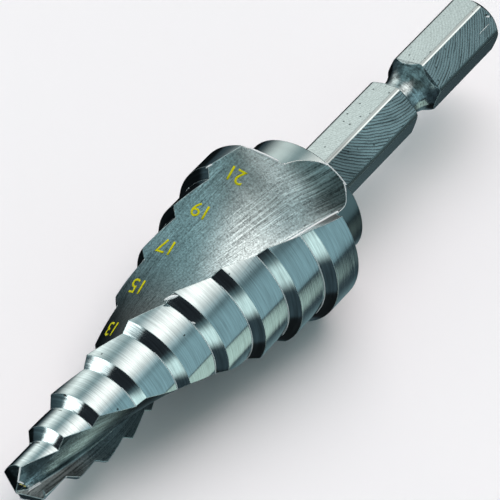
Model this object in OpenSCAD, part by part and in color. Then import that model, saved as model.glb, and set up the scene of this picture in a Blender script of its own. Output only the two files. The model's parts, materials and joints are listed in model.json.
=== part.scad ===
// Step drill: nine steps, two helical flutes, one solid piece with a hexagonal shank.
// Lengths are in millimetres, angles in degrees. The drill lies on its side, tip towards -X.

/* [Steps] */
// diameter of the first step
smallest_diameter = 5; // [4.6:0.1:5.4]
// how much wider each step is than the one before
diameter_increment = 2; // [1.7:0.05:2.1]
// length of the first step, from the tip of the point to its shoulder
first_step_length = 5; // [4.6:0.1:5.6]
// length of the second step, with its shoulder
second_step_length = 4; // [3.6:0.1:5]
// length of each further step, with its shoulder
step_length = 5; // [4.6:0.1:5.4]
// slope of the shoulders, from the axis
shoulder_angle = 45; // [42:1:60]
// how far a land falls away behind its cutting edge, over a quarter turn
land_relief = 0.16; // [0.08:0.01:0.22]
// how far a shoulder sets back behind its cutting edge, over a quarter turn
shoulder_relief = 0.42; // [0.3:0.02:0.5]

/* [Point] */
// included angle of the point
point_angle = 135; // [118:1:140]
// relief of the point's flanks behind the lips
flank_relief = 18; // [12:1:22]
// steeper relief of the flanks' rear strips
heel_relief = 36; // [30:1:40]
// distance from the lip to the steeper strip
flank_width = 1.35; // [1:0.05:1.6]
// tilt of the notches that thin the web, from the axis
notch_angle = 38; // [34:1:42]

/* [Flutes] */
// lead of the flutes at the tip
lead_at_tip = 70.6; // [66:0.2:90]
// lead of the flutes at the rear of the last step
lead_at_rear = 228; // [200:1:260]
// lean of the cutting face at the cutting edge
rake_angle = 15; // [10:1:18]
// thickness of the core at the tip
core_at_tip = 0.9; // [0.7:0.05:1.2]
// thickness of the core at the last step, between the flute bottoms
core_at_rear = 10.8; // [9.8:0.1:11.4]
// radius of the grinding wheel where it leaves the flute
wheel_radius = 20; // [16:1:30]
// rounding of the flute bottom at the last step
bottom_radius = 0.6; // [0.4:0.05:0.9]
// angle between the cutting face and the far wall of the flute, at the tip
wall_angle_tip = 124; // [118:1:128]
// the same angle at the last step
wall_angle_rear = 114.5; // [109:0.5:118]
// how far the far wall bows out, as an angle
wall_bow = 14; // [4:1:18]

/* [Collar] */
// diameter of the collar behind the last step
collar_diameter = 15; // [13:0.1:16]
// length of the cylindrical part of the collar
collar_length = 3.2; // [2.6:0.1:4.5]
// slope of the back of the last step, from the axis
back_angle = 60; // [45:1:75]
// small chamfer round the collar's rear edge
collar_chamfer = 0.15; // [0.1:0.05:0.4]

/* [Shank] */
// width of the hexagon across its flats
across_flats = 6.35; // [6:0.05:6.5]
// diameter of the turned blank that rounds the hexagon's corners
across_corners = 7.08; // [6.9:0.01:7.2]
// length of the hexagon in front of the groove
front_hexagon_length = 16; // [12:0.5:22]
// length of the hexagon behind the groove
rear_hexagon_length = 12; // [9:0.1:14]
// width of the groove at the hexagon's corners
groove_width = 4.4; // [3.8:0.1:5]
// diameter of the neck at the bottom of the groove
neck_diameter = 4.7; // [4.2:0.1:5]
// length of the chamfer at the shank's end
end_chamfer = 0.7; // [0.4:0.05:1]

/* [Hidden] */
$fn = 128;
step_count = 9;
radii = [for (i = [0 : step_count - 1]) (smallest_diameter + i * diameter_increment) / 2];
step_ends = [for (i = [0 : step_count - 1])
  first_step_length + (i > 0 ? second_step_length : 0) + max(0, i - 1) * step_length];
step_starts = [for (i = [0 : step_count - 1]) i == 0 ? -0.5 : step_ends[i - 1]];
shoulder_length = diameter_increment / 2 / tan(shoulder_angle);
lip_rise = 90 - point_angle / 2;
point_length = radii[0] / tan(point_angle / 2);
body_length = step_ends[step_count - 1];
body_radius = radii[step_count - 1];
collar_radius = collar_diameter / 2;
back_length = (body_radius - collar_radius) / tan(back_angle);
collar_start = body_length + back_length;
collar_end = collar_start + collar_length;
groove_start = collar_end + front_hexagon_length;
groove_end = groove_start + groove_width;
shank_end = groove_end + rear_hexagon_length;
corner_radius = across_corners / 2;
neck_radius = neck_diameter / 2;
end_radius = corner_radius - 0.9 * end_chamfer;

// angle of the first cutting edge at the tip, in the drill's own frame
first_edge_angle = 146.5;
edge_slope_tip = 360 / lead_at_tip;
edge_slope_rear = 360 / lead_at_rear;
wheel_start = 0.864 * body_length;
wall_angle_collar = wall_angle_rear + 3;
flute_start = -1.5;
flute_stations = 64;
flute_overrun = 1.2;
bottom_points = 4;
wall_points = 6;
face_points = 4;
outside_radius = 1.35 * body_radius;
seam_angle = 42;
shoulder_root = 0.4;

// Radius of the cone through the middle of the lands.
function envelope(z) = max(radii[0] - 0.3, min(body_radius,
  radii[0] + (body_radius - radii[0]) * (z - 0.6 * first_step_length) / (0.887 * body_length)));

// Angle of the first cutting edge at a distance from the tip.
function edge_angle(z) = first_edge_angle + edge_slope_tip * z
  + (edge_slope_rear - edge_slope_tip) * z * z / (2 * body_length);

// Distance from the axis to the flute's bottom line.
function core_radius(z) = let (u = min(1, max(0, z / body_length)))
  (core_at_tip + (core_at_rear - core_at_tip) * (1 - pow(1 - u, 1.8))) / 2
  + pow(max(0, z - wheel_start), 2) / (2 * wheel_radius);

// Angle between the two walls of the flute.
function wall_angle(z) = lookup(z / body_length, [
  [0, wall_angle_tip], [0.1, wall_angle_tip - 2], [0.25, wall_angle_tip + 1], [0.55, wall_angle_tip],
  [0.7, (wall_angle_tip + wall_angle_rear) / 2], [0.98, wall_angle_rear],
  [1.06, wall_angle_collar], [1.3, wall_angle_collar]]);

// Bow of the far wall, which fades out where the flute runs out on the collar.
function bow(z) = wall_bow * lookup(z / body_length, [[0.9, 1], [1.05, 0.12], [1.3, 0.12]]);

// Rounding of the flute's bottom.
function bottom(z) = bottom_radius * (0.35 + 0.65 * min(1, max(0, z / body_length)));

// Fall of the hollow cutting face at a distance from the axis.
function face_fall(z, x) = let (w = core_radius(z), span = max(0.8, envelope(z) - w))
  -tan(rake_angle) * pow(max(0, x - w), 2) / (2 * span);

// A point of the far wall, a share s of the way from the bottom line to the heel.
function wall_point(z, s) = let (t = 1.15 * envelope(z) * s, a = wall_angle(z) + bow(z) * (s - 1))
  [core_radius(z) + t * cos(a), -t * sin(a)];

// The cross-section of one flute, with its bottom line on the first axis.
function flute_section(z) = let (
    w = core_radius(z), b = wall_angle(z) - bow(z), r = bottom(z), reach = r / tan(b / 2),
    far = 1.12 * envelope(z) + 0.4, near = w + 1.6 * reach, first_share = reach / (1.15 * envelope(z)),
    last = face_fall(z, far))
  concat(
    [[outside_radius + 4, last - (outside_radius + 4 - far) * tan(rake_angle)]],
    [for (i = [0 : face_points - 1]) let (x = far + (near - far) * i / face_points) [x, face_fall(z, x)]],
    [for (i = [0 : bottom_points]) let (a = 90 + (180 - b) * i / bottom_points)
      [w + reach + r * cos(a), -r + r * sin(a)]],
    [for (i = [1 : wall_points]) wall_point(z, first_share + (1.05 - first_share) * i / wall_points)],
    [let (p = wall_point(z, 1.05), q = wall_point(z, 1.08), d = (q - p) / norm(q - p)) p + 9 * d],
    [[6, -2.2 * body_radius], [1.9 * body_radius, -1.6 * body_radius]]);

// Turns a section point into place at its distance along the axis.
function placed(p, z, turn) = let (
    lead = atan2(-face_fall(z, envelope(z)), envelope(z)), a = edge_angle(z) + lead + turn)
  [p[0] * cos(a) - p[1] * sin(a), p[0] * sin(a) + p[1] * cos(a), z];

// A corner of a cutting edge, at a distance from the tip and from the axis.
function edge_point(z, r, turn) = let (x = sqrt(r * r - pow(face_fall(z, r), 2)))
  placed([x, face_fall(z, x)], z, turn);

// The centre that a land's outline is set off to.
function land_centre(i, z, turn) = let (a = edge_angle((step_starts[i] + step_ends[i]) / 2) + turn - 90)
  [land_relief * cos(a), land_relief * sin(a), z];

// A corner of a heel: the point of the far wall at a distance r from the centre c, found by halving.
function heel_point(z, r, c, turn, low = 0.3, high = 1.05, n = 24) =
  let (p = placed(wall_point(z, (low + high) / 2), z, turn), s = (low + high) / 2)
  n == 0 ? p : norm(p - c) > r ? heel_point(z, r, c, turn, low, s, n - 1)
    : heel_point(z, r, c, turn, s, high, n - 1);

// Lying pose. The drill straddles its second flute and rests on three corners: two steps' corners on the
// cutting edge and the last step's heel. The axis rises towards the shank by rest_tilt.
rest_a = edge_point(step_starts[6] + shoulder_length, radii[6], 180);
rest_b = edge_point(step_starts[7] + shoulder_length, radii[7], 180);
rest_c = heel_point(body_length, body_radius, land_centre(step_count - 1, body_length, 0), 180);
rest_cross = cross(rest_b - rest_a, rest_c - rest_a);
rest_down = rest_cross / norm(rest_cross) * sign(rest_cross * [rest_a[0], rest_a[1], 0]);
rest_tilt = asin(-rest_down[2]);
rest_turn = -atan2(rest_down[1], rest_down[0]);
rest_height = rest_down * rest_a;
rest_shift = -(shank_end * cos(rest_tilt) + end_radius * sin(rest_tilt)) / 2;

// One flute as a solid, to be cut from the blank.
module flute(turn) {
  length = collar_end + flute_overrun - flute_start;
  count = len(flute_section(0));
  rows = [for (i = [0 : flute_stations]) let (z = flute_start + length * i / flute_stations)
    [for (p = flute_section(z)) placed(p, z, turn)]];
  points = [for (row = rows) for (p = row) p];
  sides = [for (i = [0 : flute_stations - 1]) for (j = [0 : count - 1])
    let (k = (j + 1) % count, a = i * count + j, b = i * count + k, c = a + count, d = b + count)
    for (f = [[a, d, b], [a, c, d]]) f];
  first_cap = [[for (j = [0 : count - 1]) j]];
  last_cap = [[for (j = [count - 1 : -1 : 0]) flute_stations * count + j]];
  polyhedron(points = points, faces = concat(sides, first_cap, last_cap), convexity = 6);
}

// One land of one step: a half cylinder set off its axis, so that it falls away behind the edge.
module land(i, turn) {
  first = i == 0 ? step_starts[0] : step_starts[i] - shoulder_root;
  last = i == step_count - 1 ? body_length : step_ends[i] + 2 * shoulder_root;
  middle = edge_angle((step_starts[i] + step_ends[i]) / 2) + turn;
  outline = i == step_count - 1
    ? [[0, first], [radii[i], first], [radii[i], last], [collar_radius - 0.3, collar_start + 0.3 / tan(back_angle)],
      [0, collar_start + 0.3 / tan(back_angle)]]
    : [[0, first], [radii[i], first], [radii[i], last], [0, last]];
  rotate([0, 0, middle - 90])
    translate([land_relief, 0, 0])
      rotate([0, 0, 90 - seam_angle])
        rotate_extrude(angle = 180)
          polygon(outline);
}

// The cone that shapes the shoulder in front of a land.
module shoulder(i, turn) {
  slope = tan(shoulder_angle);
  above = 0.9;
  top = step_starts[i] + shoulder_length + above / slope;
  rotate([0, 0, edge_angle(step_starts[i] + shoulder_length / 2) + turn - 90])
    translate([land_relief + shoulder_relief * slope, 0, 0])
      rotate_extrude()
        polygon([
          [0, step_starts[i] - shoulder_root],
          [radii[i - 1] - shoulder_root * slope, step_starts[i] - shoulder_root],
          [radii[i] + above, top], [radii[i] + above, collar_end], [0, collar_end]]);
}

// The steps of one half of the drill.
module steps(turn) {
  land(0, turn);
  for (i = [1 : step_count - 1])
    intersection() {
      land(i, turn);
      shoulder(i, turn);
    }
}

// The collar with its small chamfer.
module collar() {
  rotate_extrude()
    polygon([
      [0, body_length - 2], [collar_radius, body_length - 2], [collar_radius, collar_end - collar_chamfer],
      [collar_radius - collar_chamfer, collar_end], [0, collar_end]]);
}

// The hexagonal shank: a hexagon turned down at its corners, its groove and its end.
module shank() {
  overlap = 1;
  intersection() {
    translate([0, 0, collar_end - overlap])
      rotate([0, 0, 15])
        cylinder(d = across_flats / cos(30), h = shank_end - collar_end + overlap, $fn = 6);
    rotate_extrude()
      polygon([
        [0, collar_end - overlap], [corner_radius, collar_end - overlap],
        [corner_radius, groove_start], [neck_radius + 0.2, groove_start + 0.45],
        [neck_radius, groove_start + 0.75],
        [neck_radius, groove_start + 0.42 * groove_width],
        [neck_radius + 0.1, groove_start + 0.55 * groove_width],
        [neck_radius + 0.42, groove_start + 0.75 * groove_width],
        [corner_radius, groove_end],
        [corner_radius, shank_end - end_chamfer], [end_radius, shank_end], [0, shank_end]]);
  }
}

// The two flanks ground behind one lip, as blocks to be cut away.
module flanks(turn) {
  block = 12;
  rotate([0, 0, edge_angle(point_length) + turn])
    rotate([0, -lip_rise, 0])
      rotate([flank_relief, 0, 0]) {
        translate([-block, -block, -block])
          cube([2 * block, 2 * block, block]);
        translate([0, flank_width, 0])
          rotate([heel_relief - flank_relief, 0, 0])
            translate([-block, -block, -block])
              cube([2 * block, 2 * block, block]);
      }
}

// The notch that thins the web in front of one lip.
module notch(turn) {
  rotate([0, 0, edge_angle(point_length) + turn + 10])
    translate([-0.15, -0.07, 0.1])
      rotate([0, notch_angle, 0])
        translate([0, 0, -1])
          linear_extrude(height = 3.7)
            polygon([[0, 0], [4, 0], [4, -4], [-1.2, -4]]);
}

// The drill in its own frame, tip at the origin and axis along Z.
module drill_upright() {
  difference() {
    union() {
      steps(0);
      steps(180);
      collar();
      shank();
    }
    flute(0);
    flute(180);
    flanks(0);
    flanks(180);
    notch(0);
    notch(180);
  }
}

// The drill lying at rest, its lowest corners on the floor.
module step_drill() {
  color([0.62, 0.66, 0.68])
    translate([rest_shift, 0, rest_height])
      rotate([0, 90 - rest_tilt, 0])
        rotate([0, 0, rest_turn])
          drill_upright();
}

step_drill();
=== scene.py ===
"""Looks of a step drill that lies on a pale floor: its steel finishes with painted shade and highlight,
step numbers, wear and studio.
"""

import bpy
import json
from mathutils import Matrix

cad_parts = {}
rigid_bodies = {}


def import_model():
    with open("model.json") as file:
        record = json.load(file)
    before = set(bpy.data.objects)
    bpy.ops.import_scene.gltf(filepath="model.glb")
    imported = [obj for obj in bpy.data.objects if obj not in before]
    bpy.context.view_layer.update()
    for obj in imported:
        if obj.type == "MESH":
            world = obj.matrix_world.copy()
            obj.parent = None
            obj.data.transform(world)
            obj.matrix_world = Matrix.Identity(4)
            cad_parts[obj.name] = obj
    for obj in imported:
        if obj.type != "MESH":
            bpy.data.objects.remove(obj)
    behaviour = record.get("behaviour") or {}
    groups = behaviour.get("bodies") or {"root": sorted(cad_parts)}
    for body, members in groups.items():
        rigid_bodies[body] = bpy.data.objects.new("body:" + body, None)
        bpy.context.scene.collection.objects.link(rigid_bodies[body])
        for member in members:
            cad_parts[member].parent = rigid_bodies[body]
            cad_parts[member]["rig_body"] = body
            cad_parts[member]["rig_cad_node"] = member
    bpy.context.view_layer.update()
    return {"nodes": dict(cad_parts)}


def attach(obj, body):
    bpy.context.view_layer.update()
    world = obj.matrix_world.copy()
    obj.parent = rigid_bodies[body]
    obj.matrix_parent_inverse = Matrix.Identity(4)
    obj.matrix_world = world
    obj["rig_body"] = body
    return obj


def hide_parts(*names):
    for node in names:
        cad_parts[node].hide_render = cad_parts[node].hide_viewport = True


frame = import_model()

import json
import logging
import math
import random
from dataclasses import dataclass
from enum import Enum
from typing import Any, Union

import bmesh
import bpy
from mathutils import Euler, Matrix, Vector
from mathutils.kdtree import KDTree

log = logging.getLogger("step_drill")
MM = 0.001
# The flutes' twist at the tip, in degrees a millimetre, and how much each millimetre takes off it.
TWIST = 5.099
TWIST_LOSS = 0.03849
# How much the steps' radius grows in a millimetre, and the radius of the last step, in millimetres.
GROWTH = 0.183
LAST_RADIUS = 10.4
Value = Union["Socket", float, int]
Colour = tuple[float, float, float]
Triple = tuple[float, float, float]
# Where something begins and where it is complete.
Span = tuple[float, float]
# Where something begins, is complete, begins to go and is gone.
Stretch = tuple[float, float, float, float]


class Socket:
    """A node's output that Python expressions can use."""

    def __init__(self, maker: "NodeMaker", link: bpy.types.NodeSocket) -> None:
        """Wraps an output, with the maker whose tree holds its node."""
        self.maker = maker
        self.link = link

    def _math(self, operation: str, first: Value, second: Value = 0.0) -> "Socket":
        """The result of one Math node."""
        return self.maker.add("ShaderNodeMath", {"operation": operation}, {0: first, 1: second})

    def __add__(self, other: Value) -> "Socket":
        """self + other."""
        return self._math("ADD", self, other)

    def __radd__(self, other: Value) -> "Socket":
        """other + self."""
        return self._math("ADD", other, self)

    def __sub__(self, other: Value) -> "Socket":
        """self - other."""
        return self._math("SUBTRACT", self, other)

    def __rsub__(self, other: Value) -> "Socket":
        """other - self."""
        return self._math("SUBTRACT", other, self)

    def __mul__(self, other: Value) -> "Socket":
        """self * other."""
        return self._math("MULTIPLY", self, other)

    def __rmul__(self, other: Value) -> "Socket":
        """other * self."""
        return self._math("MULTIPLY", other, self)

    def __truediv__(self, other: Value) -> "Socket":
        """self / other."""
        return self._math("DIVIDE", self, other)

    def __pow__(self, other: Value) -> "Socket":
        """self ** other."""
        return self._math("POWER", self, other)

    def size(self) -> "Socket":
        """The value without its sign."""
        return self._math("ABSOLUTE", self)

    def sine(self) -> "Socket":
        """The sine of an angle in radians."""
        return self._math("SINE", self)

    def cosine(self) -> "Socket":
        """The cosine of an angle in radians."""
        return self._math("COSINE", self)

    def wrapped(self, low: float, high: float) -> "Socket":
        """The value, folded round into a range."""
        inputs = {0: self, 1: high, 2: low}
        return self.maker.add("ShaderNodeMath", {"operation": "WRAP"}, inputs)

    def root(self) -> "Socket":
        """The square root."""
        return self._math("SQRT", self)

    def at_least(self, floor: float) -> "Socket":
        """The value, or the floor where it is lower."""
        return self._math("MAXIMUM", self, floor)

    def at_most(self, ceiling: float) -> "Socket":
        """The value, or the ceiling where it is higher."""
        return self._math("MINIMUM", self, ceiling)

    def angle_from(self, other: "Socket") -> "Socket":
        """The angle whose sine goes with self and whose cosine goes with other, in radians."""
        return self._math("ARCTAN2", self, other)

    def step(self, low: float, high: float) -> "Socket":
        """A smooth step.

        Args:
            low: where the step starts.
            high: where it ends, which may be below low.

        Returns:
            0 at low, 1 at high and a smooth way between them.
        """
        settings = {"interpolation_type": "SMOOTHSTEP"}
        if low > high:
            return 1 - self.step(high, low)
        return self.maker.add(
            "ShaderNodeMapRange", settings, {"Value": self, "From Min": low, "From Max": high}
        )

    def stretch(self, start: float, full: float, fading: float, end: float) -> "Socket":
        """1 between full and fading, 0 outside start and end, and a smooth way between them."""
        return self.step(start, full) * self.step(end, fading)


class NodeMaker:
    """Adds nodes to a material's or a world's tree."""

    def __init__(self, tree: bpy.types.NodeTree) -> None:
        """Empties the node tree that is to be filled."""
        self.tree = tree
        tree.nodes.clear()

    def add(
        self,
        kind: str,
        settings: dict[str, Any] | None = None,
        inputs: dict[Any, Any] | None = None,
        output: int | str = 0,
    ) -> Socket:
        """Adds one node.

        Args:
            kind: the node's type.
            settings: its own settings, set first.
            inputs: values or sockets by the name or number of the input.
            output: the output that is wanted.

        Returns:
            That output.
        """
        node = self.tree.nodes.new(kind)
        for name, value in (settings or {}).items():
            setattr(node, name, value)
        for key, value in (inputs or {}).items():
            if isinstance(value, Socket):
                self.tree.links.new(value.link, node.inputs[key])
            else:
                node.inputs[key].default_value = value
        return Socket(self, node.outputs[output]) if node.outputs else Socket(self, None)

    def dot(self, vector: Socket, axis: Vector) -> Socket:
        """The part of a vector along a fixed axis."""
        return self.add(
            "ShaderNodeVectorMath", {"operation": "DOT_PRODUCT"}, {0: vector, 1: tuple(axis)}, "Value"
        )

    def scale(self, colour: Any, factor: Value) -> Socket:
        """A colour or vector times a number."""
        return self.add(
            "ShaderNodeVectorMath", {"operation": "SCALE"}, {"Vector": colour, "Scale": factor}
        )

    def join(self, first: Value, second: Value, third: Value) -> Socket:
        """Joins three numbers into a vector."""
        return self.add("ShaderNodeCombineXYZ", {}, {0: first, 1: second, 2: third})

    def noise(self, where: Socket, detail: float = 2.0, rough: float = 0.5, bend: float = 0.0) -> Socket:
        """Smooth noise, mostly from 0.3 to 0.7, with lumps one unit apart and finer layers in them."""
        inputs = {"Vector": where, "Scale": 1.0, "Detail": detail, "Roughness": rough, "Distortion": bend}
        return self.add("ShaderNodeTexNoise", {}, inputs)

    def specks(self, where: Socket, share: float, size: float) -> Socket:
        """Scatters small round specks.

        Args:
            where: the place, in distances between specks.
            share: the share of the places that have one.
            size: a speck's radius as a share of that distance.

        Returns:
            1 in a speck and 0 elsewhere.
        """
        cell = self.add("ShaderNodeTexVoronoi", {}, {"Vector": where, "Scale": 1.0}, "Distance")
        tint = self.add("ShaderNodeTexVoronoi", {}, {"Vector": where, "Scale": 1.0}, "Color")
        pick = self.dot(tint, Vector((1.0, 0.0, 0.0)))
        return cell.step(size, size * 0.55) * pick.step(1 - share, 1 - share + 0.02)

    def mix(self, factor: Value, first: Any, second: Any) -> Socket:
        """Mixes two colours.

        Args:
            factor: the share of the second colour.
            first: a colour or a socket.
            second: a colour or a socket.

        Returns:
            The mixed colour.
        """
        inputs = {
            "Factor": factor,
            6: (*first, 1.0) if isinstance(first, tuple) else first,
            7: (*second, 1.0) if isinstance(second, tuple) else second,
        }
        return self.add("ShaderNodeMix", {"data_type": "RGBA"}, inputs, 2)

    def finish(self, inputs: dict[str, Any]) -> None:
        """Ends a material's tree with one shader, whose inputs are given, and its output."""
        shader = self.add("ShaderNodeBsdfPrincipled", {}, inputs)
        self.add("ShaderNodeOutputMaterial", {}, {"Surface": shader})


def new_material(name: str) -> tuple[bpy.types.Material, NodeMaker]:
    """Starts a material.

    Args:
        name: its name.

    Returns:
        The material and the maker of its nodes.
    """
    made = bpy.data.materials.new(name)
    made.use_nodes = True
    return made, NodeMaker(made.node_tree)


@dataclass(frozen=True)
class Lie:
    """How the drill lies: its axis's tilt and the turn round it in degrees, and its tip in millimetres."""

    tilt: float = 2.22598
    turn: float = -67.4632
    shift: float = -40.6919
    height: float = 7.02645

    def turning(self) -> Matrix:
        """The rotation from the drill's own frame to the row frame."""
        lay = Matrix.Rotation(math.radians(90 - self.tilt), 3, "Y")
        return lay @ Matrix.Rotation(math.radians(self.turn), 3, "Z")

    def foot(self) -> Vector:
        """The drill's tip in the row frame, in metres."""
        return Vector((self.shift, 0.0, self.height)) * MM

    def place(self) -> Matrix:
        """The whole move from the drill's own frame, in metres, to the row frame."""
        return Matrix.Translation(self.foot()) @ self.turning().to_4x4()


LIE = Lie()


class Zone(Enum):
    """The parts of the steel that are finished alike."""

    LAND = "lands"
    SHOULDER = "shoulders"
    FLUTE = "flutes"
    POINT = "point"
    COLLAR = "collar"
    HEXAGON = "hexagon"
    GROOVE = "groove"


class DrillSpace:
    """Places on the drill in its own frame, in millimetres, as shader values."""

    # The cone's radius at the tip and at least, for the flutes' marks, and where their spacing is true.
    tip_reach = 2.6
    least_reach = 3.0
    true_reach = 8
    # The directions across and along the marks that the wheel left where it ran out.
    leaving_across = (-0.883, 0.276, 0.381)
    leaving_along = (0.334, -0.202, 0.921)

    def __init__(self, maker: NodeMaker) -> None:
        """Turns the object's coordinates back into the drill's frame, with the material's maker."""
        self.maker = maker
        spot = maker.add("ShaderNodeTexCoord", {}, {}, "Object")
        foot = {0: spot, 1: tuple(LIE.foot())}
        spot = maker.add("ShaderNodeVectorMath", {"operation": "SUBTRACT"}, foot)
        axes = LIE.turning()
        self.x = maker.dot(spot, axes.col[0] / MM)
        self.y = maker.dot(spot, axes.col[1] / MM)
        self.z = maker.dot(spot, axes.col[2] / MM)

    def place(self, size: float) -> Socket:
        """The place in lumps of one size in millimetres, alike in all directions."""
        return self.maker.join(self.x / size, self.y / size, self.z / size)

    def turned(self, along: float, around: float) -> Socket:
        """The place for marks round the axis, by their spacing along it and their length round it."""
        return self.maker.join(self.x / around, self.y / around, self.z / along)

    def ground(self, across: float, along: float) -> Socket:
        """The place for marks that follow the flutes round the drill.

        Args:
            across: the marks' spacing, in millimetres.
            along: their length along the flute.

        Returns:
            The place, untwisted and with the cone's growth taken out.
        """
        twist = self.z * math.radians(TWIST) - self.z * self.z * math.radians(TWIST_LOSS)
        side, over = twist.sine(), twist.cosine()
        grown = (self.z * GROWTH + self.tip_reach).at_most(LAST_RADIUS).at_least(self.least_reach)
        grown = grown * (across / self.true_reach)
        first = (self.x * over + self.y * side) / grown
        second = (self.y * over - self.x * side) / grown
        return self.maker.join(first, second, self.z / along)

    def run_out(self, across: float, along: float) -> Socket:
        """The place for the marks that the wheel left where it came out of the steel.

        Args:
            across: the marks' spacing, in millimetres.
            along: their length.

        Returns:
            The stretched place, the same for both flutes.
        """
        over, out = self.x * self.flute(), self.y * self.flute()
        first, second = (
            over * axis[0] + out * axis[1] + self.z * axis[2]
            for axis in (self.leaving_across, self.leaving_along)
        )
        return self.maker.join(first / across, second / along, 0.0)

    def facing(self, axis: int) -> Socket:
        """How much the surface faces along one of the drill's axes, from -1 to 1."""
        normal = self.maker.add("ShaderNodeNewGeometry", {}, {}, "Normal")
        return self.maker.dot(normal, LIE.turning().col[axis])

    def flute(self) -> Socket:
        """1 in the flute with the numbers and -1 in its twin, near their rear ends."""
        return self.maker.add("ShaderNodeMath", {"operation": "SIGN"}, {0: self.y * -1})

    def reach(self) -> Socket:
        """The distance from the axis."""
        return (self.x * self.x + self.y * self.y).root()

    def angle(self) -> Socket:
        """The angle round the axis in degrees, 0 towards the camera's side."""
        return self.x.angle_from(self.y * -1) * (180 / math.pi)


@dataclass(frozen=True)
class Surface:
    """What varies over a finish: its tone, roughness and height."""

    tone: Value
    roughness: Value
    height: Socket


@dataclass(frozen=True)
class Steel:
    """A bare steel finish; each kind of work on it is a finish of its own.

    Its marks are as deep as depth and its rubbed edges as wide as edge, in millimetres. Those edges
    get rubbed_roughness and a painted highlight that makes them lighter by rim_highlight, and corner
    is how sharp an edge has to be to show it in full.
    """

    colour: Colour = (0.46, 0.54, 0.56)
    roughness: float = 0.12
    depth: float = 0.0015
    edge: float = 0.1
    rim_highlight: float = 1.1
    corner: float = 0.09
    metal: float = 1.0
    rubbed_roughness: float = 0.42

    def surface(self, maker: NodeMaker, space: DrillSpace) -> Surface:
        """Lays out the marks of this finish: a soft cloud alone."""
        cloud = maker.noise(space.place(1.5))
        return Surface(cloud * 0.2 + 0.9, self.roughness, cloud)

    def material(self, name: str) -> bpy.types.Material:
        """Builds the finish.

        Args:
            name: the material's name.

        Returns:
            The new material.
        """
        made, maker = new_material(name)
        surface = self.surface(maker, DrillSpace(maker))
        rounded = maker.add("ShaderNodeBevel", {"samples": 4}, {"Radius": self.edge * MM})
        flat = maker.add("ShaderNodeNewGeometry", {}, {}, "Normal")
        both = {0: rounded, 1: flat}
        meet = maker.add("ShaderNodeVectorMath", {"operation": "DOT_PRODUCT"}, both, "Value")
        # Painted highlight: edges are made lighter by rim_highlight; they are also rubbed to
        # rubbed_roughness.
        rim = (1 - meet).step(self.corner * 0.05, self.corner)
        marks = {"Distance": self.depth * MM, "Height": surface.height, "Normal": rounded}
        inputs = {
            "Base Color": maker.scale(self.colour, surface.tone + rim * self.rim_highlight),
            "Metallic": self.metal,
            "Roughness": rim * (self.rubbed_roughness - surface.roughness) + surface.roughness,
            "Normal": maker.add("ShaderNodeBump", {}, marks),
        }
        maker.finish(inputs)
        return made


@dataclass(frozen=True)
class TurnedSteel(Steel):
    """Steel that was turned or ground round its axis: fine rings, streaks and a few pits.

    A painted shade darkens it round the drill by the share in shade, over the angles in shaded.
    """

    spacing: float = 0.17
    contrast: float = 0.65
    pits: float = 0.2
    shade: float = 0.0
    shaded: Span = (-35.0, 30.0)

    def surface(self, maker: NodeMaker, space: DrillSpace) -> Surface:
        """Lays out rings of several widths, broken up round the drill."""
        fine = maker.noise(space.turned(self.spacing, 5.0), 3.0, 0.6)
        broad = maker.noise(space.turned(self.spacing * 5, 3.0), 2.0)
        cloud = maker.noise(space.place(2.5), 3.0)
        pits = maker.specks(space.place(1.7), self.pits, 0.1)
        tone = (fine - 0.5) * self.contrast + (broad - 0.5) * 0.3 + (cloud - 0.5) * 0.15 + 1.0
        rough = (cloud - 0.5) * 0.06 + (fine - 0.5) * 0.08 + self.roughness
        height = fine + broad * 0.8 - pits * 3
        # Painted shade: the steel is darker round one side of the drill.
        painted_side_shade = space.angle().step(*self.shaded) * self.shade
        return Surface(tone * (1 - pits * 0.8) * (1 - painted_side_shade), rough, height)


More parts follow.
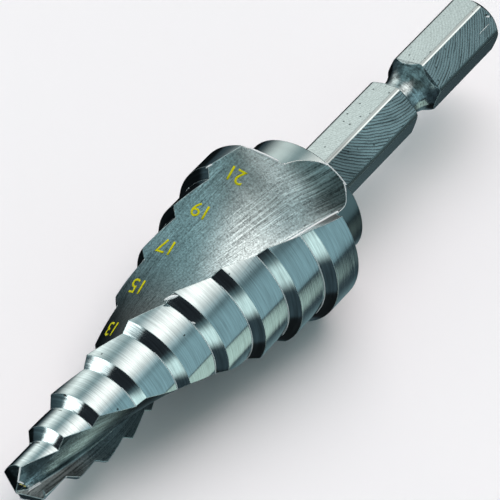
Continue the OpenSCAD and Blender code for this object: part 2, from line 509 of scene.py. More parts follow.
@dataclass(frozen=True)
class GroundFlute(Steel):
    """A flute's face: long grinding lines over a fine mottle, with painted shade and highlight along the
    drill.

    Lengths are in millimetres along the axis from the tip, angles in degrees round it.

    Attributes:
        across, along: the grinding lines' spacing and length.
        crisp, painted_shade_middle, dark: where the face has even fine lines, painted shade, and deeper
            painted shade.
        tip, first_steps: where the tip's painted shade and the first steps' broad marks set in, from the
            rear.
        run_out, rear: where the wheel's run-out and the painted shade at the flute's end set in.
        lip: where the lip's bright front, a painted highlight on faces that look towards the tip, sets in,
            from the rear.
        beside_lip, beside_angle: where the painted dark strip of shade beside the lip sets in.
        heel_angle: the angle over which painted shade darkens the run-out towards the heel.
        wedge, wedge_angle: where the painted shadow on the wedge under the heel sets in.
    """

    across: float = 0.13
    along: float = 7.0
    crisp: Stretch = (24.0, 30.0, 40.0, 46.0)
    painted_shade_middle: Stretch = (9.0, 16.0, 22.0, 31.0)
    dark: Stretch = (17.0, 21.0, 24.0, 34.0)
    tip: Span = (14.0, 9.0)
    first_steps: Span = (24.0, 12.0)
    run_out: Span = (42.0, 46.0)
    rear: Span = (44.5, 48.0)
    lip: Span = (2.2, 1.2)
    beside_lip: Span = (8.5, 6.0)
    beside_angle: Span = (60.0, 66.0)
    heel_angle: Span = (-4.0, 14.0)
    wedge: Span = (42.3, 43.9)
    wedge_angle: Span = (12.0, 16.0)

    def surface(self, maker: NodeMaker, space: DrillSpace) -> Surface:
        """Lays out grinding lines that follow the flute, and the mottle under them."""
        late = space.z.step(*self.run_out)
        early = space.z.step(*self.first_steps)
        lines = maker.noise(space.ground(self.across, self.along), 4.0, 0.75, 0.2)
        leaving = maker.noise(space.run_out(self.across * 1.3, self.along), 3.0, 0.7, 0.2)
        lines = lines * (1 - late) + leaving * late
        wide = maker.noise(space.ground(self.across * 4, self.along * 1.6), 2.0, 0.6)
        grain = maker.noise(space.place(0.2), 2.0, 0.8)
        cloud = maker.noise(space.place(3.0), 2.0)
        worn = maker.noise(space.ground(2.5, 9.0), 1.0).step(0.42, 0.6)
        lined = worn * 0.75 + 0.35 + late * 0.5
        crisp = space.z.stretch(*self.crisp)
        tone = (lines - 0.5) * lined * (crisp * 0.8 + 3.0) + (grain - 0.5) * (crisp * 0.5 + 1.9)
        tone = tone + (wide - 0.5) * (lined * 0.7 + early * 2.2)
        tone = (tone + (cloud - 0.5) * 0.3 + 1.0).at_least(0.3)
        # Painted shade and highlight along the flute, at its tip and towards the heel.
        tone = self.shade_heel(space, self.shade_along(space, tone))
        pits = maker.specks(space.place(0.9), 0.16, 0.1)
        tone = tone * (1 - pits * 0.55)
        height = lines * lined * 1.3 + wide * 0.8 + grain - pits * 1.5
        return Surface(tone, (cloud - 0.5) * 0.1 + self.roughness, height)

    def shade_along(self, space: DrillSpace, tone: Socket) -> Socket:
        """Paints shade along the drill and at its tip, a dark strip beside the lip, and a highlight on
        faces that look towards the tip.

        Args:
            space: places on the drill.
            tone: the tone so far.

        Returns:
            The tone with that shade.
        """
        # Painted shade: darker stretches along the flute, near the tip and at the flute's end.
        painted_shade_middle = space.z.stretch(*self.painted_shade_middle)
        tip = space.z.step(*self.tip)
        dark = space.z.stretch(*self.dark)
        tone = tone * (1.05 - tip * 0.47 - painted_shade_middle * 0.56 - dark * 0.32) * (1 - space.z.step(*self.rear) * 0.3)
        # Painted shade: a dark strip beside the lip.
        beside = space.angle().wrapped(0.0, 180.0).step(*self.beside_angle) * space.z.step(*self.beside_lip)
        tone = tone * (1 - beside * 0.6)
        # Painted highlight: faces that look towards the tip are lighter, most of all at the lip.
        front = space.facing(2).step(0.05, -0.15) * tip
        return tone * (front * (space.z.step(*self.lip) * 1.3 + 0.3) + 1)

    def shade_heel(self, space: DrillSpace, tone: Socket) -> Socket:
        """Paints the run-out lighter, with painted shade towards the heel and the darkest painted shadow on
        the wedge under the heel.

        Args:
            space: places on the drill.
            tone: the tone so far.

        Returns:
            The tone with that painted shade and shadow.
        """
        late = space.z.step(*self.run_out)
        heel = space.angle().wrapped(-90.0, 90.0)
        # Painted shade: the run-out is lighter, and darker towards the heel.
        tone = tone * (1.2 - late * (heel.step(*self.heel_angle) * 0.55) - (1 - late) * 0.2)
        # Painted shadow: the wedge under the heel is darkest.
        aside = (space.facing(0) * space.flute()).step(-0.45, -0.7)
        return tone * (1 - space.z.step(*self.wedge) * heel.step(*self.wedge_angle) * aside * 0.95)


@dataclass(frozen=True)
class MilledHexagon(Steel):
    """The hexagon's flats: arcs left by a face cutter, strongest on one flat, and small pits, with painted
    shade and highlight.

    Lengths are in millimetres along the axis from the tip, angles in degrees round it.

    Attributes:
        arc_centre, spacing: the cutter's centre across and along the flat, and its arcs' spacing.
        cut, under, ridge: the flat with strong arcs, the flats with painted shade, and the painted
            highlight line between.
        rounded: the distance from the axis at which a corner turns into a flat.
        rear, near: where the shank's rear part sets in, with a lighter cut flat, and the painted shade
            towards the collar.
        limits: the darkest and the lightest tone.
    """

    arc_centre: tuple[float, float] = (-11.8, 66.0)
    spacing: float = 0.33
    cut: Stretch = (-17.0, -13.0, 43.0, 47.0)
    under: Stretch = (43.0, 47.0, 103.0, 107.0)
    ridge: Stretch = (-14.2, -13.0, -10.5, -9.0)
    rounded: Span = (3.53, 3.49)
    rear: Span = (64.0, 69.0)
    near: Span = (58.0, 53.5)
    limits: tuple[float, float] = (0.22, 1.9)

    def surface(self, maker: NodeMaker, space: DrillSpace) -> Surface:
        """Lays out the cutter's arcs on each flat."""
        around = (space.angle() - 15).wrapped(-30.0, 30.0) * (math.pi / 180)
        side = space.reach() * around.sine()
        out, along = side - self.arc_centre[0], space.z - self.arc_centre[1]
        radius = (out * out + along * along).root()
        sweep = out.angle_from(along)
        angle = space.angle()
        wander = maker.noise(space.place(2.2), 2.0)
        ripple = (radius * (2 * math.pi / self.spacing) + wander * 7).sine()
        where = maker.join(radius / 0.3, sweep * 4, angle * 0.02)
        broken = maker.noise(where, 2.0, 0.6, 0.3)
        fine = maker.noise(maker.join(radius / 0.14, sweep * 6, angle * 0.02), 2.0, 0.6)
        grain = maker.noise(space.place(0.2), 2.0, 0.7)
        pits = maker.specks(space.place(0.85), 0.55, 0.17)
        strong = angle.stretch(*self.cut) * 0.92 + 0.08
        flat = space.reach().step(*self.rounded)
        rear = space.z.step(*self.rear) * 0.8 + 1
        groove = (ripple * 0.5 + 0.5) ** 2.2
        cut = (broken - 0.5) * 2.2 - groove * (broken * 1.6 + 0.1)
        tone = cut * strong * 1.65 + (fine - 0.5) * strong * rear * 1.5 + (grain - 0.5) * 1.0
        # Painted highlight: a bright line along the rounded corner next to the cut flat, and a lighter cut
        # flat, more so towards the rear.
        ridge = angle.stretch(*self.ridge)
        tone = (tone + 1.04 + strong * (rear * 0.35 + 0.55)) * flat + (1 - flat) * (ridge * 0.75 + 0.68)
        height = (cut * strong + fine * strong) * flat + grain * 0.5 - pits * 2
        # Painted shade: darker lower flats, and a darker cut flat near the collar.
        under = angle.stretch(*self.under)
        near = strong * space.z.step(*self.near)
        tone = tone.at_least(self.limits[0]).at_most(self.limits[1]) * (1 - pits * 0.8)
        tone = tone * (1.03 - under * 0.42) * (1 - strong * 0.08 - near * 0.42)
        return Surface(tone, (grain - 0.5) * 0.1 + self.roughness, height)


@dataclass(frozen=True)
class RoughGroove(Steel):
    """The turned groove in the shank: dark and bright blotches crossed by turning marks."""

    def surface(self, maker: NodeMaker, space: DrillSpace) -> Surface:
        """Lays out blotches and turning marks."""
        rings = maker.noise(space.turned(0.16, 2.5), 2.0, 0.6)
        blotch = maker.noise(space.place(0.7), 3.0, 0.7, 0.4)
        grain = maker.noise(space.place(0.18), 2.0, 0.7)
        tone = blotch.step(0.34, 0.68) * 0.6 + 0.38 + (rings - 0.5) * 1.1 + (grain - 0.5) * 0.7
        return Surface(tone.at_least(0.2), (blotch - 0.5) * 0.2 + self.roughness, rings + blotch + grain)


def deselect() -> None:
    """Leaves object mode with nothing selected."""
    if bpy.context.object and bpy.context.object.mode != "OBJECT":
        bpy.ops.object.mode_set(mode="OBJECT")
    bpy.ops.object.select_all(action="DESELECT")


def make_active(piece: bpy.types.Object) -> None:
    """Selects one piece alone and makes it active."""
    deselect()
    piece.select_set(True)
    bpy.context.view_layer.objects.active = piece


def forget_source(piece: bpy.types.Object) -> None:
    """Takes off a copy the marks of the solid that it was copied from."""
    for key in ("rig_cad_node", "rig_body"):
        if key in piece:
            del piece[key]


def dress(piece: bpy.types.Object, finish: bpy.types.Material) -> bpy.types.Object:
    """Gives a piece its one finish and its place on the drill.

    Args:
        piece: the finished mesh.
        finish: its material.

    Returns:
        The piece.
    """
    piece.data.materials.clear()
    piece.data.materials.append(finish)
    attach(piece, "root")
    return piece


def report(piece: bpy.types.Object) -> None:
    """Logs a finished piece."""
    log.info("%s: %d faces", piece.name, len(piece.data.polygons))


@dataclass
class DrillBody:
    """The whole drill in one piece, with its steel finished zone by zone.

    An edge is shaded sharp from the angle in crease, and the flutes' shading is evened out over
    even_reach, with samples from even_range times as far. A face is a land or a shoulder only beyond
    outer_share of the steps' radius.
    """

    node: str = "step_drill"
    crease: float = 22.0
    flute_crease: float = 38.0
    even_reach: float = 0.9
    even_range: float = 2.2
    point_end: float = 3.0
    outer_share: float = 0.74
    collar_start: float = 45.73
    collar_end: float = 48.93
    groove_start: float = 64.93
    groove_end: float = 69.33

    def build(self) -> bpy.types.Object:
        """Copies the solid, closes its mesh and dresses it.

        Returns:
            The finished piece.
        """
        source = frame["nodes"][self.node]
        body = source.copy()
        body.data = source.data.copy()
        body.name = "drill_body"
        forget_source(body)
        body.parent = None
        bpy.context.scene.collection.objects.link(body)
        make_active(body)
        bpy.ops.mesh.customdata_custom_splitnormals_clear()
        bpy.ops.object.mode_set(mode="EDIT")
        bpy.ops.mesh.select_all(action="SELECT")
        bpy.ops.mesh.remove_doubles(threshold=0.000001)
        bpy.ops.object.mode_set(mode="OBJECT")
        self.finish_zones(body)
        self.crease_edges(body)
        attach(body, "root")
        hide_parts(self.node)
        return body

    def crease_edges(self, body: bpy.types.Object) -> None:
        """Shades the faces smooth, with a crease at each corner and between two finishes.

        Args:
            body: the drill's mesh object.
        """
        make_active(body)
        bpy.ops.object.shade_smooth()
        mesh = bmesh.new()
        mesh.from_mesh(body.data)
        flutes = [index for index, slot in enumerate(body.data.materials) if "flutes" in slot.name]
        for edge in mesh.edges:
            if len(edge.link_faces) != 2:
                continue
            first, second = (face.material_index for face in edge.link_faces)
            limit = self.flute_crease if first == second and first in flutes else self.crease
            edge.smooth = first == second and edge.calc_face_angle(0.0) < math.radians(limit)
        mesh.to_mesh(body.data)
        mesh.free()
        weigh = body.modifiers.new("even_shading", "WEIGHTED_NORMAL")
        weigh.mode = "FACE_AREA_WITH_ANGLE"
        weigh.keep_sharp = True
        bpy.ops.object.modifier_apply(modifier=weigh.name)
        self.even_flutes(body.data, flutes)

    def even_flutes(self, mesh: bpy.types.Mesh, flutes: list[int]) -> None:
        """Evens out the shading of the flutes, whose faces are long and slightly twisted.

        Args:
            mesh: the drill's mesh.
            flutes: the numbers of the flute's materials.
        """
        faces = [face for face in mesh.polygons if face.material_index in flutes]
        spots = []
        for face in faces:
            for number in face.vertices:
                spot = face.center.lerp(mesh.vertices[number].co, 0.5)
                spots.append((spot, face.normal.copy(), face.area))
        tree = KDTree(len(spots))
        for number, (spot, _, _) in enumerate(spots):
            tree.insert(spot, number)
        tree.balance()
        normals = [Vector(corner.vector) for corner in mesh.corner_normals]
        done: dict[tuple, Vector] = {}
        for face in faces:
            for loop in face.loop_indices:
                here = mesh.loops[loop].vertex_index
                old = normals[loop]
                key = (here, round(old.x, 2), round(old.y, 2), round(old.z, 2))
                if key not in done:
                    done[key] = self.mean_normal(tree, spots, mesh.vertices[here].co, old)
                normals[loop] = done[key]
        mesh.normals_split_custom_set([tuple(normal) for normal in normals])

    def mean_normal(self, tree: KDTree, spots: list, here: Vector, old: Vector) -> Vector:
        """Averages the flute's normals near a place.

        Args:
            tree: the flute's sample places.
            spots: the place, normal and area of each sample.
            here: the place.
            old: the normal that the mesh gives there.

        Returns:
            The mean normal of the samples that point about the same way.
        """
        # A trace of the old normal holds where no sample is near.
        total = old * 1e-9
        for _, number, gap in tree.find_range(here, self.even_reach * self.even_range * MM):
            _, normal, area = spots[number]
            if normal.dot(old) > 0.9:
                total += normal * area * math.exp(-((gap / (self.even_reach * MM)) ** 2))
        return total.normalized()

    def zone_of(self, centre: Vector, normal: Vector) -> Zone:
        """Says which zone a face belongs to.

        Args:
            centre: the face's centre in the drill's own frame, in millimetres.
            normal: its normal in that frame.

        Returns:
            The zone.
        """
        reach = math.hypot(centre.x, centre.y)
        out = (normal.x * centre.x + normal.y * centre.y) / max(reach, 1e-6)
        along = centre.z
        # A turned face looks straight out; the other limits are slopes towards the tip or the rear.
        turned = out > 0.97 and abs(normal.z) < 0.05
        if along > self.collar_end + 0.05:
            if self.groove_start - 0.01 < along < self.groove_end + 0.01:
                return Zone.GROOVE
            return Zone.HEXAGON
        if along > self.collar_start - 0.2 and normal.z > 0.3:
            return Zone.COLLAR
        if along > self.collar_start and turned:
            return Zone.COLLAR
        if normal.z < -0.45 and along < self.point_end:
            return Zone.POINT
        outer = reach > self.outer_share * min(LAST_RADIUS, 2.1 + GROWTH * along)
        if outer and turned:
            return Zone.LAND
        if outer and normal.z < -0.6 and out > 0.6:
            return Zone.SHOULDER
        return Zone.FLUTE

    def finish_zones(self, body: bpy.types.Object) -> None:
        """Gives each face the finish of its zone.

        Args:
            body: the drill's mesh object.
        """
        finishes = {
            Zone.LAND: TurnedSteel(roughness=0.1, depth=0.002, spacing=0.15, contrast=1.0),
            Zone.SHOULDER: TurnedSteel(
                roughness=0.1, depth=0.003, edge=0.12, rim_highlight=1.6, spacing=0.16, contrast=1.7, pits=0.04
            ),
            Zone.FLUTE: GroundFlute(roughness=0.28, depth=0.007, edge=0.15, rim_highlight=1.3, corner=0.03),
            Zone.POINT: GroundFlute(
                (0.17, 0.2, 0.205), 0.2, depth=0.003, edge=0.17, rim_highlight=4.5, corner=0.05
            ),
            Zone.COLLAR: TurnedSteel(
                (0.37, 0.44, 0.45), 0.14, rim_highlight=2.5, corner=0.05,
                spacing=0.5, contrast=0.15, pits=0.03, shade=0.5,
            ),
            Zone.HEXAGON: MilledHexagon((0.465, 0.53, 0.538), 0.24, depth=0.003),
            Zone.GROOVE: RoughGroove(roughness=0.16, depth=0.004),
        }
        body.data.materials.clear()
        order = {}
        for index, (zone, finish) in enumerate(finishes.items()):
            body.data.materials.append(finish.material(f"steel_{zone.value}"))
            order[zone] = index
        back = LIE.turning().transposed()
        foot = LIE.foot()
        counts = dict.fromkeys(Zone, 0)
        for face in body.data.polygons:
            zone = self.zone_of(back @ (face.center - foot) / MM, back @ face.normal)
            face.material_index = order[zone]
            counts[zone] += 1
        log.info("faces by zone: %s", {zone.value: n for zone, n in counts.items()})


@dataclass(frozen=True)
class RolledEdge:
    """A thin bead along edges of the steel: a burr that was rolled up, or a fillet in a hollow corner, with
    a pale finish that paints a highlight line.

    Attributes:
        name: the piece's name.
        low, high, radius: its ends along the axis and its radius, in millimetres.
        zones, least_angle, most_angle: the zones that meet at its edges, and how sharply, in degrees.
        side, clear: 1 for the quarters where x and y have one sign, -1 for the others, or 0 for all,
            and the least size of x times y there.
        hollow: whether it lies in hollow corners alone; else both kinds of corner carry it.
    """

    name: str
    low: float
    high: float
    radius: float
    zones: tuple[Zone, Zone]
    least_angle: float = 12.0
    most_angle: float = 180.0
    side: int = 0
    hollow: bool = False
    clear: float = 0.3

    def on_edge(self, first: Zone, second: Zone, middle: Vector, angle: float) -> bool:
        """Says whether an edge carries the bead.

        Args:
            first: the zone on one side.
            second: the zone on the other side.
            middle: the edge's middle in the drill's own frame, in millimetres.
            angle: how sharply the faces meet, in degrees, below 0 in a hollow corner.

        Returns:
            True for an edge that does.
        """
        angle = -angle if self.hollow else abs(angle)
        if self.side and middle.x * middle.y * self.side < self.clear:
            return False
        if not self.low < middle.z < self.high:
            return False
        return self.least_angle < angle < self.most_angle and {first, second} == set(self.zones)

    def build(self, body: bpy.types.Object, finish: bpy.types.Material) -> bpy.types.Object:
        """Lays the bead along its edges.

        Args:
            body: the dressed drill.
            finish: the bead's material.

        Returns:
            The finished piece.
        """
        make_active(body)
        bpy.ops.object.duplicate()
        bead = bpy.context.object
        bead.name = self.name
        forget_source(bead)
        zones = [Zone(slot.name.removeprefix("steel_")) for slot in bead.data.materials]
        back, foot = LIE.turning().transposed(), LIE.foot()
        mesh = bmesh.new()
        mesh.from_mesh(bead.data)
        for edge in mesh.edges:
            first, second = (zones[face.material_index] for face in edge.link_faces)
            middle = back @ ((edge.verts[0].co + edge.verts[1].co) / 2 - foot) / MM
            angle = math.degrees(edge.calc_face_angle_signed(0.0))
            edge.tag = self.on_edge(first, second, middle, angle)
        lost = [edge for edge in mesh.edges if not edge.tag]
        bmesh.ops.delete(mesh, geom=lost, context="EDGES")
        bmesh.ops.delete(mesh, geom=mesh.faces[:], context="FACES_ONLY")
        mesh.to_mesh(bead.data)
        mesh.free()
        make_active(bead)
        bpy.ops.object.convert(target="CURVE")
        bead = bpy.context.object
        bead.data.bevel_depth = self.radius * MM
        bead.data.bevel_resolution = 2
        bead.data.use_fill_caps = True
        bpy.ops.object.convert(target="MESH")
        bead = bpy.context.object
        bpy.ops.object.shade_smooth()
        return dress(bead, finish)


@dataclass(frozen=True)
class Flake:
    """A small flake, nick or scratch that stands out from the steel around it, in millimetres."""

    name: str
    middle: Triple
    along: Triple
    out: Triple
    long: float
    wide: float
    thick: float
    seed: int = 1
    uneven: float = 0.1
    taper: float = 0.5

    def build(self, finish: bpy.types.Material) -> bpy.types.Object:
        """Makes the flake from an uneven lump and lays it on the drill.

        Args:
            finish: its material.

        Returns:
            The finished piece.
        """
        deselect()
        bpy.ops.mesh.primitive_ico_sphere_add(subdivisions=3, radius=0.5)
        lump = bpy.context.object
        lump.name = self.name
        roll = random.Random(self.seed)
        for corner in lump.data.vertices:
            corner.co *= 1 + roll.uniform(-self.uneven, self.uneven)
            corner.co.y *= 0.75 + self.taper * corner.co.x
        out = Vector(self.out).normalized()
        ahead = Vector(self.along)
        ahead = (ahead - out * ahead.dot(out)).normalized()
        across = out.cross(ahead)
        axes = (ahead * self.long, across * self.wide, out * self.thick)
        turn = Matrix(axes).transposed().to_4x4()
        lump.matrix_world = LIE.place() @ Matrix.Scale(MM, 4) @ Matrix.Translation(self.middle) @ turn
        make_active(lump)
        bpy.ops.object.transform_apply(location=True, rotation=True, scale=True)
        return dress(lump, finish)


@dataclass(frozen=True)
class YellowInk:
    """The olive-yellow ink of the step numbers, slightly rubbed."""

    colour: Colour = (0.56, 0.55, 0.0)
    thin: Colour = (0.42, 0.42, 0.005)

    def material(self) -> bpy.types.Material:
        """Builds the finish.

        Returns:
            The new material.
        """
        made, maker = new_material("yellow_ink")
        space = DrillSpace(maker)
        wear = maker.noise(space.place(0.25), 3.0, 0.6)
        colour = maker.mix(wear.step(0.5, 0.68), self.colour, self.thin)
        rough = (wear - 0.5) * 0.3 + 0.6
        maker.finish({"Base Color": colour, "Roughness": rough, "Specular IOR Level": 0.2})
        return made


@dataclass(frozen=True)
class StepNumber:
    """A step's diameter, inked on the flute's face; its place and sizes are in millimetres.

    The digits are narrow, spaced and bold as shares of the type's own sizes. The number starts lift
    over the face, from where it is laid down, and the ink begins proud of the steel.
    """

    digits: str
    centre: Triple
    normal: Triple
    up: Triple = (0.24, 0.24, -0.94)
    tall: float = 1.68
    narrow: float = 0.98
    gap: float = 1.02
    pitch: float = 0.86
    bold: float = 0.004
    lift: float = 0.3
    proud: float = 0.012
    thick: float = 0.015

    def build(self, body: bpy.types.Object, ink: bpy.types.Material) -> bpy.types.Object:
        """Writes the number on the drill.

        Args:
            body: the drill, which the number lies on.
            ink: its material.

        Returns:
            The finished piece.
        """
        deselect()
        bpy.ops.object.text_add()
        words = bpy.context.object
        words.data.body = self.digits
        words.data.align_x = "CENTER"
        words.data.align_y = "CENTER"
        words.data.size = 1.0
        words.data.offset = self.bold
        words.data.space_character = self.gap / self.narrow * self.pitch
        bpy.ops.object.convert(target="MESH")
        number = bpy.context.object
        number.name = f"step_number_{self.digits}"
        bpy.ops.object.mode_set(mode="EDIT")
        bpy.ops.mesh.select_all(action="SELECT")
        bpy.ops.mesh.remove_doubles(threshold=0.0005)
        bpy.ops.mesh.quads_convert_to_tris()
        bpy.ops.mesh.subdivide(number_cuts=2)
        bpy.ops.object.mode_set(mode="OBJECT")
        self.lay(number, body)
        return dress(number, ink)

    def lay(self, number: bpy.types.Object, body: bpy.types.Object) -> None:
        """Puts the number on the drill's surface and gives the ink its thickness.

        Args:
            number: the flat number, a unit tall.
            body: the drill.
        """
        out = Vector(self.normal).normalized()
        up = Vector(self.up)
        up = (up - out * up.dot(out)).normalized()
        across = up.cross(out)
        heights = [corner.co.y for corner in number.data.vertices]
        size = self.tall / (max(heights) - min(heights))
        turn = Matrix((across * size * self.narrow, up * size, out * size)).transposed().to_4x4()
        spot = Matrix.Translation(Vector(self.centre) + out * self.lift)
        number.matrix_world = LIE.place() @ Matrix.Scale(MM, 4) @ spot @ turn
        make_active(number)
        bpy.ops.object.transform_apply(location=False, rotation=False, scale=True)
        wrap = number.modifiers.new("lie_on_steel", "SHRINKWRAP")
        wrap.wrap_method = "PROJECT"
        wrap.use_project_z = True
        wrap.use_negative_direction = True
        wrap.use_positive_direction = False
        wrap.target = body
        wrap.offset = self.proud * MM
        bpy.ops.object.modifier_apply(modifier=wrap.name)
        bpy.ops.object.transform_apply(location=True, rotation=True, scale=True)
        thicken = number.modifiers.new("ink_thickness", "SOLIDIFY")
        thicken.thickness = self.thick * MM
        thicken.offset = 1.0
        bpy.ops.object.modifier_apply(modifier=thicken.name)


@dataclass(frozen=True)
class Panel:
    """A soft-edged light or dark card, far away in the studio; its sizes are at a distance of one."""

    bearing: float
    height: float
    roll: float
    half_width: float
    half_height: float
    softness: float
    colour: Colour

    def cover(self, maker: NodeMaker, direction: Socket, below: Value) -> Socket:
        """Lays the card over what is already there.

        Args:
            maker: the maker of the world's nodes.
            direction: the direction that is looked in.
            below: the colour without the card.

        Returns:
            The colour with the card.
        """
        turn = Euler((0.0, math.radians(-self.height), math.radians(self.bearing))).to_matrix()
        turn = turn @ Matrix.Rotation(math.radians(self.roll), 3, "X")
        ahead = maker.dot(direction, turn.col[0])
        near = ahead.at_least(0.001)
        across = (maker.dot(direction, turn.col[1]) / near).size()
        upward = (maker.dot(direction, turn.col[2]) / near).size()
        edge = self.softness / 2
        share = across.step(self.half_width + edge, self.half_width - edge)
        share = share * upward.step(self.half_height + edge, self.half_height - edge)
        return maker.mix(share * ahead.step(0.0, 0.1), below, self.colour)


@dataclass
class Studio:
    """The camera, the floor with its backdrop, and the light.

    The steel is lit by large cards far away: a broad bright one above, bright ones at the sides, and
    dark and middle tones between and below them. The light behind them changes from low_colour to
    high_colour over fade. The floor shows in the picture and carries the shadow, but mirrors see past
    it to the cards, as the photograph's steel does. Places are in metres and turns in degrees.
    """

    camera_place: Triple = (-0.19997, -0.11605, 0.28129)
    camera_turn: Triple = (39.889, -5.014, -53.670)
    lens: float = 244.79
    floor_radius: float = 1.1
    backdrop_height: float = 0.6
    backdrop_rings: int = 8
    floor_colour: Colour = (0.92, 0.92, 0.92)
    paper_cloud: float = 0.985
    lamp_turn: Triple = (-12.0, 26.0, 0.0)
    lamp_strength: float = 1.95
    lamp_colour: Colour = (1.0, 0.87, 0.91)
    lamp_spread: float = 60.0
    low_colour: Colour = (0.05, 0.074, 0.086)
    high_colour: Colour = (0.282, 0.43, 0.448)
    fade: Span = (-0.354, 1.066)
    cards: tuple[Panel, ...] = (
        Panel(-69.5, 19.5, -2.1, 0.308, 0.684, 0.06, (0.365, 0.55, 0.595)),
        Panel(-100.5, 61.7, 1.5, 0.265, 0.606, 0.102, (0.126, 0.175, 0.171)),
        Panel(-8.5, 57.9, 59.1, 0.302, 0.365, 0.728, (2.312, 2.121, 1.993)),
        Panel(60.9, 18.1, 24.8, 0.051, 0.358, 0.821, (2.702, 2.649, 2.484)),
        Panel(145.1, 20.5, 11.3, 0.442, 0.076, 0.078, (3.1, 3.09, 2.98)),
        Panel(-170.0, 27.7, -1.7, 0.374, 0.259, 0.128, (0.025, 0.029, 0.034)),
        Panel(-137.3, -1.7, 49.3, 0.336, 0.199, 0.245, (1.119, 1.34, 1.281)),
        Panel(-60.7, -37.0, 19.4, 0.186, 0.331, 0.03, (0.731, 0.915, 0.812)),
        Panel(-82.3, -73.3, -0.9, 0.45, 0.276, 0.11, (0.012, 0.014, 0.015)),
        Panel(-3.0, -59.0, 5.9, 0.506, 0.087, 0.162, (0.162, 0.25, 0.269)),
        Panel(-10.0, 5.0, 0.0, 0.9, 0.9, 0.3, (0.08, 0.115, 0.125)),
        Panel(62.0, -40.0, 0.0, 1.1, 0.32, 0.12, (0.006, 0.008, 0.009)),
    )

    def build(self) -> None:
        """Sets up the camera, the floor and the light."""
        self.camera()
        self.floor()
        self.world()
        self.lamp()
        bpy.context.scene.view_settings.view_transform = "Standard"

    def camera(self) -> None:
        """Places the camera at the photograph's angle."""
        bpy.ops.object.camera_add(
            location=self.camera_place, rotation=[math.radians(a) for a in self.camera_turn]
        )
        camera = bpy.context.object
        camera.name = "camera"
        camera.data.lens = self.lens
        camera.data.sensor_width = 36.0
        camera.data.clip_start = 0.02
        camera.data.clip_end = 10.0
        bpy.context.scene.camera = camera

    def floor(self) -> None:
        """Makes the pale floor, which rises into a backdrop far from the drill."""
        bpy.ops.mesh.primitive_circle_add(vertices=96, radius=self.floor_radius, fill_type="NGON")
        floor = bpy.context.object
        floor.name = "floor"
        bpy.ops.object.mode_set(mode="EDIT")
        bpy.ops.mesh.select_all(action="SELECT")
        bpy.ops.mesh.region_to_loop()
        radius = self.floor_radius
        bend = 90 / self.backdrop_rings
        for ring in range(self.backdrop_rings):
            slope = math.radians(bend * (ring + 0.5))
            grow = self.backdrop_height * math.cos(slope) * math.radians(bend)
            rise = self.backdrop_height * math.sin(slope) * math.radians(bend)
            bpy.ops.mesh.extrude_edges_move(TRANSFORM_OT_translate={"value": (0.0, 0.0, rise)})
            share = (radius + grow) / radius
            bpy.ops.transform.resize(value=(share, share, 1.0), center_override=(0.0, 0.0, 0.0))
            radius += grow
        bpy.ops.object.mode_set(mode="OBJECT")
        bpy.ops.object.shade_smooth()
        floor.visible_glossy = False
        floor.data.materials.append(self.floor_finish())

    def floor_finish(self) -> bpy.types.Material:
        """Builds the floor's matt paper, with the faintest cloud in it.

        Returns:
            The new material.
        """
        made, maker = new_material("pale_floor")
        spot = maker.add("ShaderNodeTexCoord", {}, {}, "Object")
        cloud = maker.add("ShaderNodeTexNoise", {}, {"Vector": spot, "Scale": 3.0, "Detail": 2.0})
        darkest = tuple(part * self.paper_cloud for part in self.floor_colour)
        maker.finish({"Base Color": maker.mix(cloud, darkest, self.floor_colour), "Roughness": 0.9})
        return made

    def world(self) -> None:
        """Hangs the cards round the drill."""
        world = bpy.data.worlds.new("studio_light")
        bpy.context.scene.world = world
        world.use_nodes = True
        maker = NodeMaker(world.node_tree)
        direction = maker.add("ShaderNodeTexCoord", {}, {}, "Generated")
        up = maker.dot(direction, Vector((0.0, 0.0, 1.0)))
        shade = maker.mix(up.step(*self.fade), self.low_colour, self.high_colour)
        for card in self.cards:
            shade = card.cover(maker, direction, shade)
        light = maker.add("ShaderNodeBackground", {}, {"Color": shade})
        maker.add("ShaderNodeOutputWorld", {}, {"Surface": light})

    def lamp(self) -> None:
        """Adds the soft lamp that lights the floor and casts the shadow."""
        bpy.ops.object.light_add(type="SUN", rotation=[math.radians(a) for a in self.lamp_turn])
        lamp = bpy.context.object
        lamp.name = "soft_lamp"
        lamp.data.energy = self.lamp_strength
        lamp.data.color = self.lamp_colour
        lamp.data.angle = math.radians(self.lamp_spread)
        lamp.visible_glossy = False


STEP_NUMBERS = (
    StepNumber("13", (-4.75, 1.43, 21.76), (-0.909, -0.322, -0.265)),
    StepNumber("15", (-5.9, 0.06, 26.72), (-0.757, -0.568, -0.324)),
    StepNumber("17", (-6.6, -1.75, 31.48), (-0.535, -0.788, -0.304)),
    StepNumber("19", (-6.68, -3.53, 36.37), (-0.302, -0.927, -0.223)),
    StepNumber("21", (-6.76, -5.21, 41.4), (-0.094, -0.941, -0.324)),
)
ROLLED_EDGES = (
    RolledEdge("rolled_edge_at_collar", 48.2, 49.0, 0.075, (Zone.FLUTE, Zone.COLLAR)),
    RolledEdge("fine_edge_at_collar", 46.0, 48.25, 0.035, (Zone.FLUTE, Zone.COLLAR), side=-1),
    RolledEdge("rolled_edge_at_side", 44.35, 48.5, 0.14, (Zone.FLUTE, Zone.FLUTE), 30.0, side=1),
    RolledEdge("rolled_edge_at_heel", 37.0, 45.9, 0.17, (Zone.FLUTE, Zone.FLUTE), 13.5, 15.9, hollow=True),
    RolledEdge("rubbed_lip_highlight", 0.3, 2.4, 0.09, (Zone.POINT, Zone.FLUTE), side=1),
    RolledEdge("notch_edge", 0.3, 2.3, 0.03, (Zone.FLUTE, Zone.FLUTE), 16.0),
)
CORNER_FILLETS = RolledEdge(
    "corner_fillets", 4.0, 45.5, 0.075, (Zone.LAND, Zone.SHOULDER), 20.0, side=-1, hollow=True
)
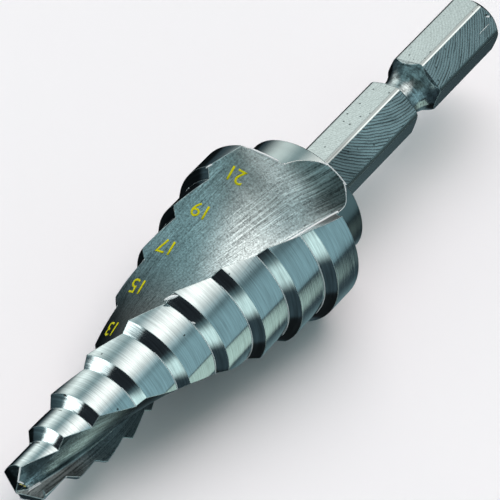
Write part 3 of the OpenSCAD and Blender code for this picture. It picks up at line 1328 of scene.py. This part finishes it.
FLAKES = (
    Flake("flake_on_15_step", (-2.52, -6.7, 24.7), (0.0, -0.69, 0.72), (-0.7, -0.7, 0.0), 2.0, 0.72, 0.3),
    Flake(
        "flake_on_21_step", (-9.37, -4.25, 40.4), (0.3, -0.6, 0.74), (-0.6, -0.7, -0.4), 0.8, 0.3, 0.12, 2
    ),
    Flake(
        "nick_on_shank_end", (0.62, -3.13, 80.58), (0.5, -0.1, 0.8), (0.26, -0.97, 0.0), 0.55, 0.3, 0.08, 3
    ),
    Flake(
        "scratch_on_shank", (1.29, -2.96, 79.07), (0.0, 0.0, 1.0), (0.26, -0.97, 0.0), 2.0, 0.09, 0.05, 4
    ),
    Flake(
        "chip_on_13_shoulder",
        (0.8, -6.47, 24.33), (0.4, 0.3, 0.6), (0.15, -0.69, -0.71), 0.5, 0.24, 0.07, 15,
    ),
    # Painted glints: small pale chips in the notch stand in for glints of light.
    Flake("glint_chip_1_in_notch", (0.36, -0.58, 1.2), (1.0, 0.3, 0.4), (0.64, -0.6, -0.4), 0.26, 0.16, 0.1, 5),
    Flake("glint_chip_2_in_notch", (0.28, -0.2, 0.7), (1.0, 0.3, 0.4), (0.2, -0.9, -0.3), 0.2, 0.14, 0.1, 6),
    Flake("glint_chip_3_in_notch", (0.66, -0.42, 1.74), (1.0, 0.3, 0.4), (0.7, -0.6, -0.2), 0.24, 0.14, 0.1, 7),
)
# Painted glints: straw-coloured chips in the notch stand in for coloured glints.
STRAW_GLINT_FLAKES = (
    Flake(
        "straw_glint_1_in_notch", (-0.3, -0.83, 0.66), (0.8, 0.3, 0.5), (0.63, -0.51, -0.59), 0.4, 0.16, 0.08, 8
    ),
    Flake(
        "straw_glint_2_in_notch", (0.1, -0.63, 0.9), (0.8, 0.3, 0.5), (0.63, -0.51, -0.59), 0.36, 0.18, 0.08, 9
    ),
)
DARK_FLAKES = (
    Flake(
        "pit_on_7_shoulder",
        (-3.3, -2.79, 10.16), (-0.2, 0.7, 0.5), (-0.49, -0.51, -0.71), 0.5, 0.3, 0.1, 11,
    ),
    Flake("pit_on_5_step", (-1.96, -1.3, 5.0), (0.5, -0.8, 0.1), (-0.81, -0.58, -0.1), 0.55, 0.14, 0.1, 12),
    Flake("pit_on_7_step", (-2.62, -2.13, 8.9), (0.6, -0.7, 0.1), (-0.75, -0.66, 0.0), 0.5, 0.1, 0.1, 13),
    Flake("pit_on_13_step", (1.02, -6.29, 22.64), (0.2, 0.0, 1.0), (0.2, -0.98, 0.0), 0.34, 0.2, 0.1, 14),
    Flake(
        "pit_on_shank_end", (0.34, -3.19, 80.5), (0.4, -0.1, 0.9), (0.26, -0.97, 0.0), 0.4, 0.26, 0.1, 10
    ),
)


def main() -> None:
    """Builds the scene, piece by piece."""
    logging.basicConfig(level=logging.INFO, format="%(message)s")
    Studio().build()
    body = DrillBody().build()
    report(body)
    ink = YellowInk().material()
    for number in STEP_NUMBERS:
        report(number.build(body, ink))
    # Pale, partly matt steel for burrs, nicks, beads and chips: its paleness paints a highlight on them.
    bright = Steel((0.86, 0.9, 0.9), 0.3, rim_highlight=0.0, metal=0.3).material("steel_burr")
    # Pale steel for the fillets in hollow corners: its paleness paints a highlight line along them.
    fillet = Steel((0.78, 0.86, 0.87), 0.25, rim_highlight=0.0, metal=0.55).material("steel_fillet")
    report(CORNER_FILLETS.build(body, fillet))
    for edge in ROLLED_EDGES:
        report(edge.build(body, bright))
    # Straw-coloured steel, for the chips that paint coloured glints in the notch.
    straw_glint = Steel((0.6, 0.53, 0.16), 0.3, metal=0.4).material("steel_straw")
    pitted = Steel((0.05, 0.06, 0.06), 0.4).material("steel_pit")
    for flakes, finish in ((FLAKES, bright), (STRAW_GLINT_FLAKES, straw_glint), (DARK_FLAKES, pitted)):
        for flake in flakes:
            report(flake.build(finish))


if __name__ == "__main__":
    main()
